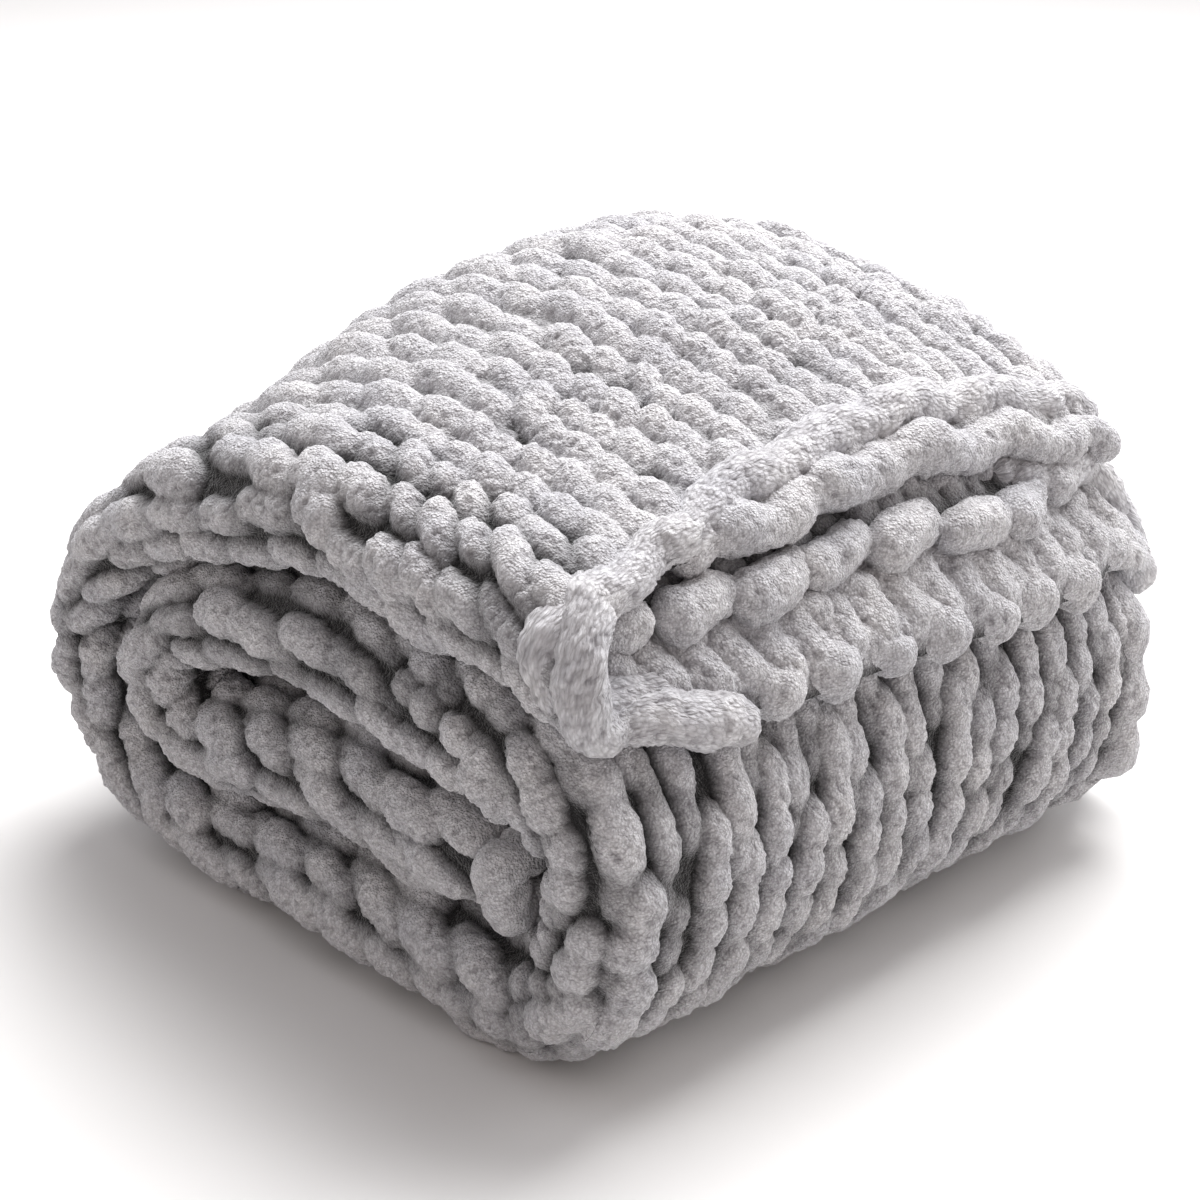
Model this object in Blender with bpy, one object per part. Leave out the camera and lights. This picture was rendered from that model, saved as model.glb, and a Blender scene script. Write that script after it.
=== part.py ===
"""A chunky knit blanket, folded in three along its length and then rolled over itself in four passes.

The blanket is one piece of thick knitted cloth. Two things give its shape:

- the fold in three: across the strip, the cloth runs as a top layer, round the near side, back as a bottom
  layer, round the far side, and in between the two as a middle layer;
- the roll: along the strip, that bundle of three layers starts as a flap lying over the right-hand turn, runs
  over the top to the left, down the left-hand turn, along the floor, up the right-hand turn, back over itself,
  round the inner left-hand turn, and ends inside the right-hand turn.

Metres, +Z up. X runs from the left-hand turns to the right-hand turn, Y from the near side to the far side, and
the origin is on the floor under the middle of the bounding box.
"""

import math

import bmesh
import bpy
import numpy as np

# ---- named sizes, in metres
PITCH = 0.025  # from one layer of cloth to the next
THICK = 0.0222  # thickness of the knitted cloth
STRIP = 0.505  # width of the folded strip, from its near side to its far side
TURN_RIGHT = 0.132  # x where the right-hand turn starts
TURN_LEFT = -0.110  # x where the left-hand turns start
RIGHT_REACH = 0.96  # how far the right-hand turn bulges, against its half height
RIGHT_SQUARE = 2.5  # squareness of the right-hand turn, 2 for a half circle
INNER_RADIUS = 1.8 * PITCH  # middle of the strip in the inner left-hand turn
TOP_EDGE_BACK = 0.055  # the top layer's long free edge stops this short of the far side
MIDDLE_EDGE_IN = 0.004  # the middle layer's free edge reaches this far into the near side's curve
FLAP_ANGLE = 60.5  # degrees of the right-hand turn that the flap hangs over
INNER_END = TURN_RIGHT + 0.014  # x where the strip ends, inside the right-hand turn
STEP_ANGLE = 12.5  # most degrees that one facet turns
STEP_LENGTH = 0.055  # longest facet along the strip
FINE = 0.0025  # step of the finely sampled route

# How far each layer's short edge stops back from the end of the flap. "from" is the bend or edge that "in" counts from.
FLAP_EDGE = (
    # place, from, in, back
    ("top layer, free edge", 0, 0.0, 0.080),
    ("top layer, middle", 0, 0.18, 0.094),
    ("near side starts", 1, 0.0, 0.088),
    ("near side ends", 2, 0.0, 0.057),
    ("bottom layer, near corner", 2, 0.05, 0.032),
    ("bottom layer, 120 mm in", 2, 0.12, 0.014),
    ("bottom layer, longest", 2, 0.28, 0.000),
    ("bottom layer, far corner", 3, -0.08, 0.007),
    ("far side starts", 3, 0.0, 0.052),
    ("far side ends", 4, 0.0, 0.092),
    ("middle layer, 150 mm in", 4, 0.15, 0.055),
    ("middle layer, 260 mm in", 4, 0.26, 0.070),
    ("middle layer, near the near side", 4, 0.33, 0.073),
    ("middle layer, free edge", 5, 0.0, 0.097),
)

# At the far side the top layer is missing, so there the other two settle onto each other. Heights in pitches.
SETTLE = (
    # height in the stack, height at the far side
    (0.0, 0.0),
    (1.0, 0.12),
    (3.0, 2.1),
    (4.0, 2.25),
    (8.0, 6.1),
    (9.0, 6.3),
    (11.0, 8.3),
    (12.0, 9.0),
    (14.0, 10.5),
)

# Where the cloth is sampled across the strip, as shares of the strip's straight part from near to far.
ACROSS = (0.0, 0.16, 0.33, 0.5, 0.67, 0.80)


def ease(value, low, high):
    t = np.clip((value - low) / (high - low), 0.0, 1.0)
    return t * t * (3.0 - 2.0 * t)


# ---- the route of the strip's middle, in X and Z


def straight(start, end, count):
    return np.column_stack([np.linspace(start[0], end[0], count), np.linspace(start[1], end[1], count)])


def resampled(points, step):
    """The same route with points at even steps along it."""
    along = np.r_[0.0, np.cumsum(np.hypot(*np.diff(points, axis=0).T))]
    keep = np.r_[True, np.diff(along) > 1e-9]
    points, along = points[keep], along[keep]
    at = np.linspace(0.0, along[-1], max(2, int(round(along[-1] / step)) + 1))
    return np.column_stack([np.interp(at, along, points[:, 0]), np.interp(at, along, points[:, 1])])


def softened(points, passes):
    points = points.copy()
    for _ in range(passes):
        points[1:-1] = 0.25 * points[:-2] + 0.5 * points[1:-1] + 0.25 * points[2:]
    return points


def outward(points):
    """Unit normals on the right-hand side of the route, which is the roll's outer side."""
    t = np.gradient(points, axis=0)
    t = t / np.hypot(t[:, 0], t[:, 1])[:, None]
    return np.column_stack([t[:, 1], -t[:, 0]])


def route():
    """The strip's middle from the end of the flap to the end inside the roll."""
    low = PITCH + THICK / 2.0  # the floor pass, its outer side on the floor
    third, second = low + 3.0 * PITCH, low + 6.0 * PITCH
    floor_pass = straight((TURN_LEFT, low), (TURN_RIGHT, low), 60)
    a = np.linspace(-math.pi / 2.0, math.pi / 2.0, 241)
    share = 2.0 / RIGHT_SQUARE
    right = np.column_stack(
        [
            TURN_RIGHT + 3.0 * PITCH * RIGHT_REACH * np.abs(np.cos(a)) ** share,
            third + 3.0 * PITCH * np.sign(np.sin(a)) * np.abs(np.sin(a)) ** share,
        ]
    )
    x = np.linspace(TURN_RIGHT, TURN_LEFT, 60)
    opening = 2.0 * INNER_RADIUS - 3.0 * PITCH  # the inner turn is wider than two passes
    second_pass = np.column_stack([x, second + opening * ease(TURN_RIGHT - x, 0.0, TURN_RIGHT - TURN_LEFT)])
    a = np.linspace(math.pi / 2.0, 3.0 * math.pi / 2.0, 121)
    left = np.column_stack(
        [TURN_LEFT + INNER_RADIUS * np.cos(a), third + INNER_RADIUS + INNER_RADIUS * np.sin(a)]
    )
    third_pass = straight((TURN_LEFT, third), (INNER_END, third), 60)
    # the flap, the top pass and the outer left-hand turn lie one strip's thickness outside those they cover
    covered = resampled(np.vstack([right, second_pass[1:], left[1:]]), FINE)
    covered = softened(covered, 12)
    sides = outward(covered)
    outer = covered + 3.0 * PITCH * sides
    outer[-1] = (TURN_LEFT, low)
    facing = np.degrees(np.arctan2(sides[:, 0], sides[:, 1]))
    first = int(np.argmax((facing < FLAP_ANGLE) & (covered[:, 1] > third)))
    inner = resampled(np.vstack([floor_pass[:-1], right[:-1], second_pass[:-1], left[:-1], third_pass]), FINE)
    whole = resampled(np.vstack([outer[first:-1], inner]), FINE)
    return softened(whole, 10)


ROUTE = route()
ROUTE_AT = np.r_[0.0, np.cumsum(np.hypot(*np.diff(ROUTE, axis=0).T))]
ROUTE_OUT = outward(ROUTE)
LENGTH = float(ROUTE_AT[-1])  # flat length of the blanket


def on_route(s):
    x, z = np.interp(s, ROUTE_AT, ROUTE[:, 0]), np.interp(s, ROUTE_AT, ROUTE[:, 1])
    nx, nz = np.interp(s, ROUTE_AT, ROUTE_OUT[:, 0]), np.interp(s, ROUTE_AT, ROUTE_OUT[:, 1])
    size = np.hypot(nx, nz)
    return x, z, nx / size, nz / size


# ---- the fold in three, across the strip

NEAR = -STRIP / 2.0 + PITCH + THICK / 2.0  # y of the near curve's centre
FAR = STRIP / 2.0 - PITCH / 2.0 - THICK / 2.0  # y of the far curve's centre
TOP_EDGE = STRIP / 2.0 - TOP_EDGE_BACK
MIDDLE_EDGE = NEAR - MIDDLE_EDGE_IN
FOLD = np.cumsum(
    [
        0.0,
        TOP_EDGE - NEAR,  # top layer, from its free edge
        math.pi * PITCH,  # near side
        FAR - NEAR,  # bottom layer
        math.pi * PITCH / 2.0,  # far side
        FAR - MIDDLE_EDGE,  # middle layer, to its free edge
    ]
)
WIDTH = float(FOLD[-1])  # flat width of the blanket


def folded(u):
    """(y, n) of the cloth's middle at u across the flat width, and its normal there. n is outward from the strip's middle."""
    u = np.asarray(u, float)
    y, n = np.empty_like(u), np.empty_like(u)
    ny, nn = np.zeros_like(u), np.ones_like(u)
    top = u <= FOLD[1]
    y[top], n[top] = TOP_EDGE - u[top], PITCH
    near = (u > FOLD[1]) & (u <= FOLD[2])
    a = (u[near] - FOLD[1]) / PITCH
    y[near], n[near], ny[near], nn[near] = NEAR - PITCH * np.sin(a), PITCH * np.cos(a), -np.sin(a), np.cos(a)
    low = (u > FOLD[2]) & (u <= FOLD[3])
    y[low], n[low], nn[low] = NEAR + u[low] - FOLD[2], -PITCH, -1.0
    far = (u > FOLD[3]) & (u <= FOLD[4])
    half = PITCH / 2.0
    a = (u[far] - FOLD[3]) / half
    y[far], n[far], ny[far], nn[far] = FAR + half * np.sin(a), -half - half * np.cos(a), np.sin(a), -np.cos(a)
    middle = u > FOLD[4]
    y[middle], n[middle] = FAR - (u[middle] - FOLD[4]), 0.0
    return y, n, ny, nn


def edge_back(u):
    return np.interp(u, [FOLD[bend] + inward for _, bend, inward, _ in FLAP_EDGE], [row[3] for row in FLAP_EDGE])


def settled(x, y, z):
    """The stack as it lies: its far side settles, its top is domed, its near left corner is low, its foot spreads."""
    share = ease(y, TOP_EDGE - 0.02, STRIP / 2.0 + 0.005)
    stack, far = np.array(SETTLE).T * PITCH
    z = z + share * (np.interp(z, stack, far) - z)
    corner = ease(-x, -0.02, 0.16) * ease(-y, -0.06, 0.20)
    z = z - 0.016 * corner * np.sin(math.pi * np.clip(z / (12.8 * PITCH), 0.0, 1.0) ** 1.6)
    dome = 0.155 * np.exp(-((x / 0.215) ** 2) - ((y - 0.06) / 0.22) ** 2)
    low_corner = 0.15 * ease(-x, -0.05, 0.22) * ease(-y, -0.03, 0.25)
    low_flap = 0.06 * ease(x, 0.10, 0.22) * ease(y, 0.0, 0.22)
    z = z * (0.98 + dome - low_corner - low_flap)
    x = x * (1.0 + 0.05 * np.sin(math.pi * np.clip(z / (12.0 * PITCH), 0.0, 1.0) ** 0.7))
    x = x * (1.0 - 0.05 * ease(-y, 0.05, 0.25) * ease(-x, 0.0, 0.25))
    return x, y, z


def cloth(s, u, h):
    """A point of the blanket: s along it, u across it, h outward from the middle of the cloth."""
    y, n, ny, nn = folded(u)
    y, n = y + h * ny, n + h * nn
    s = s + edge_back(u) * (1.0 - ease(s, 0.0, 0.30))
    x, z, nx, nz = on_route(s)
    n = n * (1.0 - 0.30 * ease(s, LENGTH - 0.07, LENGTH))  # the inner end is pressed flat
    return settled(x + n * nx, y, z + n * nz)


# ---- the solid


def stations():
    """Places along the strip: a facet turns STEP_ANGLE at most and is STEP_LENGTH long at most."""
    turn = np.degrees(np.abs(np.diff(np.unwrap(np.arctan2(ROUTE_OUT[:, 1], ROUTE_OUT[:, 0])))))
    cost = np.maximum(turn / STEP_ANGLE, np.diff(ROUTE_AT) / STEP_LENGTH)
    total = np.r_[0.0, np.cumsum(cost)]
    return np.interp(np.linspace(0.0, total[-1], int(math.ceil(total[-1])) + 1), total, ROUTE_AT)


def outline():
    """(u, h) round the edge of the cloth's section."""
    span = FAR - NEAR
    rows = [NEAR + share * span for share in ACROSS]
    to_edge = rows + [TOP_EDGE]
    to_far = rows + [TOP_EDGE, (TOP_EDGE + FAR) / 2.0, FAR]
    places = [TOP_EDGE - y for y in reversed(to_edge)]
    places += [FOLD[1] + (FOLD[2] - FOLD[1]) * k / 6.0 for k in range(1, 6)]
    places += [FOLD[2] + (y - NEAR) for y in to_far]
    places += [FOLD[3] + (FOLD[4] - FOLD[3]) * k / 5.0 for k in range(1, 5)]
    places += [FOLD[4] + (FAR - y) for y in reversed(to_far)]
    places += [WIDTH]
    upper = [(u, THICK / 2.0) for u in places]
    lower = [(u, -THICK / 2.0) for u in reversed(places)]
    return upper + lower


def material(name, colour, roughness):
    made = bpy.data.materials.new(name)
    made.use_nodes = True
    shader = made.node_tree.nodes["Principled BSDF"]
    shader.inputs["Base Color"].default_value = (*colour, 1.0)
    shader.inputs["Roughness"].default_value = roughness
    shader.inputs["Metallic"].default_value = 0.0
    return made


def blanket():
    ring = np.array(outline())
    places = stations()
    s, k = np.meshgrid(places, np.arange(len(ring)), indexing="ij")
    x, y, z = cloth(s.ravel(), ring[k.ravel(), 0], ring[k.ravel(), 1])
    z = np.where(z < 1e-6, 0.0, z)
    x = x - (x.min() + x.max()) / 2.0
    y = y - (y.min() + y.max()) / 2.0
    mesh = bmesh.new()
    grid = [mesh.verts.new(point) for point in zip(x, y, z)]
    count = len(ring)
    for i in range(len(places) - 1):
        for j in range(count):
            a, b = i * count + j, i * count + (j + 1) % count
            mesh.faces.new((grid[a], grid[b], grid[b + count], grid[a + count]))
    # each end is closed by a strip of quads between the two sides of the cloth
    for i in (0, len(places) - 1):
        row = grid[i * count : (i + 1) * count]
        for j in range(count // 2 - 1):
            corners = (row[j], row[j + 1], row[count - 2 - j], row[count - 1 - j])
            mesh.faces.new(corners if i else tuple(reversed(corners)))
    bmesh.ops.recalc_face_normals(mesh, faces=mesh.faces)
    data = bpy.data.meshes.new("blanket")
    mesh.to_mesh(data)
    mesh.free()
    data.shade_smooth()
    data.set_sharp_from_angle(angle=math.radians(50.0))
    thing = bpy.data.objects.new("blanket", data)
    bpy.context.scene.collection.objects.link(thing)
    data.materials.append(material("grey chenille yarn", (0.42, 0.42, 0.44), 0.95))
    return thing


for old in list(bpy.data.objects):
    bpy.data.objects.remove(old, do_unlink=True)
blanket()
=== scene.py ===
"""The looks of a chunky knit blanket, folded in three and rolled: every row of its chenille yarn, loop by loop."""

import math

import bpy
import numpy as np
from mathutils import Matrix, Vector


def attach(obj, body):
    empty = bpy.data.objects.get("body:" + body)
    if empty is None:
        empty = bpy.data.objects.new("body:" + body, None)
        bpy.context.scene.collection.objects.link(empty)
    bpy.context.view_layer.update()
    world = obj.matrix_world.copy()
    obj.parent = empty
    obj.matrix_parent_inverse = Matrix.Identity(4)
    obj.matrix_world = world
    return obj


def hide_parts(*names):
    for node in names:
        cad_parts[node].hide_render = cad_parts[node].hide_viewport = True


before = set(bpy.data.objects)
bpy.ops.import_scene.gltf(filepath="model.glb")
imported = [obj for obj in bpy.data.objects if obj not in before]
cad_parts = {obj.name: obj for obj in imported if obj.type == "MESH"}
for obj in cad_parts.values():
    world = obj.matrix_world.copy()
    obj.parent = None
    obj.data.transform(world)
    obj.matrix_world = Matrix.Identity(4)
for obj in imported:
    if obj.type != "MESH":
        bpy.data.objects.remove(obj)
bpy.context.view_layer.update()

# ---- named sizes, in metres
PITCH = 0.025  # from one layer of cloth to the next
THICK = 0.0222  # thickness of the knitted cloth
STRIP = 0.505  # width of the folded strip, from its near side to its far side
TURN_RIGHT = 0.132  # x where the right-hand turn starts
TURN_LEFT = -0.110  # x where the left-hand turns start
RIGHT_REACH = 0.96  # how far the right-hand turn bulges, against its half height
RIGHT_SQUARE = 2.5  # squareness of the right-hand turn, 2 for a half circle
INNER_RADIUS = 1.8 * PITCH  # middle of the strip in the inner left-hand turn
TOP_EDGE_BACK = 0.055  # the top layer's long free edge stops this short of the far side
MIDDLE_EDGE_IN = 0.004  # the middle layer's free edge reaches this far into the near side's curve
FLAP_ANGLE = 60.5  # degrees of the right-hand turn that the flap hangs over
INNER_END = TURN_RIGHT + 0.014  # x where the strip ends, inside the right-hand turn
STEP_ANGLE = 12.5  # most degrees that one facet turns
STEP_LENGTH = 0.055  # longest facet along the strip
FINE = 0.0025  # step of the finely sampled route

# How far each layer's short edge stops back from the end of the flap. "from" is the bend or edge that "in" counts from.
FLAP_EDGE = (
    # place, from, in, back
    ("top layer, free edge", 0, 0.0, 0.080),
    ("top layer, middle", 0, 0.18, 0.094),
    ("near side starts", 1, 0.0, 0.088),
    ("near side ends", 2, 0.0, 0.057),
    ("bottom layer, near corner", 2, 0.05, 0.032),
    ("bottom layer, 120 mm in", 2, 0.12, 0.014),
    ("bottom layer, longest", 2, 0.28, 0.000),
    ("bottom layer, far corner", 3, -0.08, 0.007),
    ("far side starts", 3, 0.0, 0.052),
    ("far side ends", 4, 0.0, 0.092),
    ("middle layer, 150 mm in", 4, 0.15, 0.055),
    ("middle layer, 260 mm in", 4, 0.26, 0.070),
    ("middle layer, near the near side", 4, 0.33, 0.073),
    ("middle layer, free edge", 5, 0.0, 0.097),
)

# At the far side the top layer is missing, so there the other two settle onto each other. Heights in pitches.
SETTLE = (
    # height in the stack, height at the far side
    (0.0, 0.0),
    (1.0, 0.12),
    (3.0, 2.1),
    (4.0, 2.25),
    (8.0, 6.1),
    (9.0, 6.3),
    (11.0, 8.3),
    (12.0, 9.0),
    (14.0, 10.5),
)

# Where the cloth is sampled across the strip, as shares of the strip's straight part from near to far.
ACROSS = (0.0, 0.16, 0.33, 0.5, 0.67, 0.80)


def ease(value, low, high):
    t = np.clip((value - low) / (high - low), 0.0, 1.0)
    return t * t * (3.0 - 2.0 * t)


# ---- the route of the strip's middle, in X and Z


def straight(start, end, count):
    return np.column_stack([np.linspace(start[0], end[0], count), np.linspace(start[1], end[1], count)])


def resampled(points, step):
    """The same route with points at even steps along it."""
    along = np.r_[0.0, np.cumsum(np.hypot(*np.diff(points, axis=0).T))]
    keep = np.r_[True, np.diff(along) > 1e-9]
    points, along = points[keep], along[keep]
    at = np.linspace(0.0, along[-1], max(2, int(round(along[-1] / step)) + 1))
    return np.column_stack([np.interp(at, along, points[:, 0]), np.interp(at, along, points[:, 1])])


def softened(points, passes):
    points = points.copy()
    for _ in range(passes):
        points[1:-1] = 0.25 * points[:-2] + 0.5 * points[1:-1] + 0.25 * points[2:]
    return points


def outward(points):
    """Unit normals on the right-hand side of the route, which is the roll's outer side."""
    t = np.gradient(points, axis=0)
    t = t / np.hypot(t[:, 0], t[:, 1])[:, None]
    return np.column_stack([t[:, 1], -t[:, 0]])


def route():
    """The strip's middle from the end of the flap to the end inside the roll."""
    low = PITCH + THICK / 2.0  # the floor pass, its outer side on the floor
    third, second = low + 3.0 * PITCH, low + 6.0 * PITCH
    floor_pass = straight((TURN_LEFT, low), (TURN_RIGHT, low), 60)
    a = np.linspace(-math.pi / 2.0, math.pi / 2.0, 241)
    share = 2.0 / RIGHT_SQUARE
    right = np.column_stack(
        [
            TURN_RIGHT + 3.0 * PITCH * RIGHT_REACH * np.abs(np.cos(a)) ** share,
            third + 3.0 * PITCH * np.sign(np.sin(a)) * np.abs(np.sin(a)) ** share,
        ]
    )
    x = np.linspace(TURN_RIGHT, TURN_LEFT, 60)
    opening = 2.0 * INNER_RADIUS - 3.0 * PITCH  # the inner turn is wider than two passes
    second_pass = np.column_stack([x, second + opening * ease(TURN_RIGHT - x, 0.0, TURN_RIGHT - TURN_LEFT)])
    a = np.linspace(math.pi / 2.0, 3.0 * math.pi / 2.0, 121)
    left = np.column_stack(
        [TURN_LEFT + INNER_RADIUS * np.cos(a), third + INNER_RADIUS + INNER_RADIUS * np.sin(a)]
    )
    third_pass = straight((TURN_LEFT, third), (INNER_END, third), 60)
    # the flap, the top pass and the outer left-hand turn lie one strip's thickness outside those they cover
    covered = resampled(np.vstack([right, second_pass[1:], left[1:]]), FINE)
    covered = softened(covered, 12)
    sides = outward(covered)
    outer = covered + 3.0 * PITCH * sides
    outer[-1] = (TURN_LEFT, low)
    facing = np.degrees(np.arctan2(sides[:, 0], sides[:, 1]))
    first = int(np.argmax((facing < FLAP_ANGLE) & (covered[:, 1] > third)))
    inner = resampled(np.vstack([floor_pass[:-1], right[:-1], second_pass[:-1], left[:-1], third_pass]), FINE)
    whole = resampled(np.vstack([outer[first:-1], inner]), FINE)
    return softened(whole, 10)


ROUTE = route()
ROUTE_AT = np.r_[0.0, np.cumsum(np.hypot(*np.diff(ROUTE, axis=0).T))]
ROUTE_OUT = outward(ROUTE)
LENGTH = float(ROUTE_AT[-1])  # flat length of the blanket


def on_route(s):
    """The strip's middle at s and its outward side. Past either end the route runs straight on."""
    x, z = np.interp(s, ROUTE_AT, ROUTE[:, 0]), np.interp(s, ROUTE_AT, ROUTE[:, 1])
    nx, nz = np.interp(s, ROUTE_AT, ROUTE_OUT[:, 0]), np.interp(s, ROUTE_AT, ROUTE_OUT[:, 1])
    size = np.hypot(nx, nz)
    nx, nz = nx / size, nz / size
    past = np.minimum(s, 0.0) + np.maximum(s - LENGTH, 0.0)
    return x - past * nz, z + past * nx, nx, nz


# ---- the fold in three, across the strip

NEAR = -STRIP / 2.0 + PITCH + THICK / 2.0  # y of the near curve's centre
FAR = STRIP / 2.0 - PITCH / 2.0 - THICK / 2.0  # y of the far curve's centre
TOP_EDGE = STRIP / 2.0 - TOP_EDGE_BACK
MIDDLE_EDGE = NEAR - MIDDLE_EDGE_IN
FOLD = np.cumsum(
    [
        0.0,
        TOP_EDGE - NEAR,  # top layer, from its free edge
        math.pi * PITCH,  # near side
        FAR - NEAR,  # bottom layer
        math.pi * PITCH / 2.0,  # far side
        FAR - MIDDLE_EDGE,  # middle layer, to its free edge
    ]
)
WIDTH = float(FOLD[-1])  # flat width of the blanket


def folded(u):
    """(y, n) of the cloth's middle at u across the flat width, and its normal there. n is outward from the strip's middle."""
    u = np.asarray(u, float)
    y, n = np.empty_like(u), np.empty_like(u)
    ny, nn = np.zeros_like(u), np.ones_like(u)
    top = u <= FOLD[1]
    y[top], n[top] = TOP_EDGE - u[top], PITCH
    near = (u > FOLD[1]) & (u <= FOLD[2])
    a = (u[near] - FOLD[1]) / PITCH
    y[near], n[near], ny[near], nn[near] = NEAR - PITCH * np.sin(a), PITCH * np.cos(a), -np.sin(a), np.cos(a)
    low = (u > FOLD[2]) & (u <= FOLD[3])
    y[low], n[low], nn[low] = NEAR + u[low] - FOLD[2], -PITCH, -1.0
    far = (u > FOLD[3]) & (u <= FOLD[4])
    half = PITCH / 2.0
    a = (u[far] - FOLD[3]) / half
    y[far], n[far], ny[far], nn[far] = FAR + half * np.sin(a), -half - half * np.cos(a), np.sin(a), -np.cos(a)
    middle = u > FOLD[4]
    y[middle], n[middle] = FAR - (u[middle] - FOLD[4]), 0.0
    return y, n, ny, nn


def edge_back(u):
    return np.interp(u, [FOLD[bend] + inward for _, bend, inward, _ in FLAP_EDGE], [row[3] for row in FLAP_EDGE])


def settled(x, y, z):
    """The stack as it lies: its far side settles, its top is domed, its near left corner is low, its foot spreads."""
    share = ease(y, TOP_EDGE - 0.02, STRIP / 2.0 + 0.005)
    stack, far = np.array(SETTLE).T * PITCH
    z = z + share * (np.interp(z, stack, far) - z)
    corner = ease(-x, -0.02, 0.16) * ease(-y, -0.06, 0.20)
    z = z - 0.016 * corner * np.sin(math.pi * np.clip(z / (12.8 * PITCH), 0.0, 1.0) ** 1.6)
    dome = 0.155 * np.exp(-((x / 0.215) ** 2) - ((y - 0.06) / 0.22) ** 2)
    low_corner = 0.15 * ease(-x, -0.05, 0.22) * ease(-y, -0.03, 0.25)
    low_flap = 0.06 * ease(x, 0.10, 0.22) * ease(y, 0.0, 0.22)
    z = z * (0.98 + dome - low_corner - low_flap)
    x = x * (1.0 + 0.05 * np.sin(math.pi * np.clip(z / (12.0 * PITCH), 0.0, 1.0) ** 0.7))
    x = x * (1.0 - 0.05 * ease(-y, 0.05, 0.25) * ease(-x, 0.0, 0.25))
    return x, y, z


def cloth(s, u, h):
    """A point of the blanket: s along it, u across it, h outward from the middle of the cloth."""
    y, n, ny, nn = folded(u)
    y, n = y + h * ny, n + h * nn
    s = s + edge_back(u) * (1.0 - ease(s, 0.0, 0.30))
    x, z, nx, nz = on_route(s)
    n = n * (1.0 - 0.30 * ease(s, LENGTH - 0.07, LENGTH))  # the inner end is pressed flat
    return settled(x + n * nx, y, z + n * nz)


# ---- the solid


def stations():
    """Places along the strip: a facet turns STEP_ANGLE at most and is STEP_LENGTH long at most."""
    turn = np.degrees(np.abs(np.diff(np.unwrap(np.arctan2(ROUTE_OUT[:, 1], ROUTE_OUT[:, 0])))))
    cost = np.maximum(turn / STEP_ANGLE, np.diff(ROUTE_AT) / STEP_LENGTH)
    total = np.r_[0.0, np.cumsum(cost)]
    return np.interp(np.linspace(0.0, total[-1], int(math.ceil(total[-1])) + 1), total, ROUTE_AT)


def outline():
    """(u, h) round the edge of the cloth's section."""
    span = FAR - NEAR
    rows = [NEAR + share * span for share in ACROSS]
    to_edge = rows + [TOP_EDGE]
    to_far = rows + [TOP_EDGE, (TOP_EDGE + FAR) / 2.0, FAR]
    places = [TOP_EDGE - y for y in reversed(to_edge)]
    places += [FOLD[1] + (FOLD[2] - FOLD[1]) * k / 6.0 for k in range(1, 6)]
    places += [FOLD[2] + (y - NEAR) for y in to_far]
    places += [FOLD[3] + (FOLD[4] - FOLD[3]) * k / 5.0 for k in range(1, 5)]
    places += [FOLD[4] + (FAR - y) for y in reversed(to_far)]
    places += [WIDTH]
    upper = [(u, THICK / 2.0) for u in places]
    lower = [(u, -THICK / 2.0) for u in reversed(places)]
    return upper + lower




_ring = np.array(outline())
_s, _k = np.meshgrid(stations(), np.arange(len(_ring)), indexing="ij")
_x, _y, _z = cloth(_s.ravel(), _ring[_k.ravel(), 0], _ring[_k.ravel(), 1])
SHIFT = np.array([(_x.min() + _x.max()) / 2.0, (_y.min() + _y.max()) / 2.0, 0.0])  # to the bounding box's middle


def placed(s, u, h):
    """Points of the folded cloth, in the object's own frame."""
    x, y, z = cloth(np.asarray(s, float), np.asarray(u, float), np.asarray(h, float))
    return np.column_stack([x, y, z]) - SHIFT


# ================================================================ noise, all of it from fixed seeds


def hashed(ix, iy, iz, salt):
    """0..1 for each lattice point."""
    h = (
        ix.astype(np.uint32) * np.uint32(374761393)
        + iy.astype(np.uint32) * np.uint32(668265263)
        + iz.astype(np.uint32) * np.uint32(2147483647)
        + np.uint32(salt * 144665 + 12345)
    )
    h = (h ^ (h >> np.uint32(13))) * np.uint32(1274126177)
    h = h ^ (h >> np.uint32(16))
    return h.astype(np.float64) / 4294967295.0


def soft_noise(p, salt=0):
    """Smooth noise, -1..1, at points p, one wave to a step of 1."""
    base = np.floor(p).astype(np.int64)
    f = p - base
    f = f * f * (3.0 - 2.0 * f)
    total = np.zeros(len(p))
    for dx in (0, 1):
        wx = f[:, 0] if dx else 1.0 - f[:, 0]
        for dy in (0, 1):
            wy = f[:, 1] if dy else 1.0 - f[:, 1]
            for dz in (0, 1):
                wz = f[:, 2] if dz else 1.0 - f[:, 2]
                total += wx * wy * wz * hashed(base[:, 0] + dx, base[:, 1] + dy, base[:, 2] + dz, salt)
    return total * 2.0 - 1.0


def nub_noise(p, salt=0):
    """Round nubs with creases between them: 0 in a crease, 1 on a nub, about one nub to a step of 1."""
    base = np.floor(p).astype(np.int64)
    nearest = np.full(len(p), 9.0)
    for dx in (-1, 0, 1):
        for dy in (-1, 0, 1):
            for dz in (-1, 0, 1):
                c = base + (dx, dy, dz)
                at = np.column_stack([c[:, k] + hashed(c[:, 0], c[:, 1], c[:, 2], salt + k) for k in range(3)])
                nearest = np.minimum(nearest, ((p - at) ** 2).sum(axis=1))
    return np.clip(1.0 - nearest, 0.0, 1.0)


def flat_noise(s, u, size_s, size_u, salt):
    return soft_noise(np.column_stack([s / size_s, u / size_u, np.full(len(s), 0.37 + salt)]), salt)


# ================================================================ the knitting, laid out flat

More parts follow.
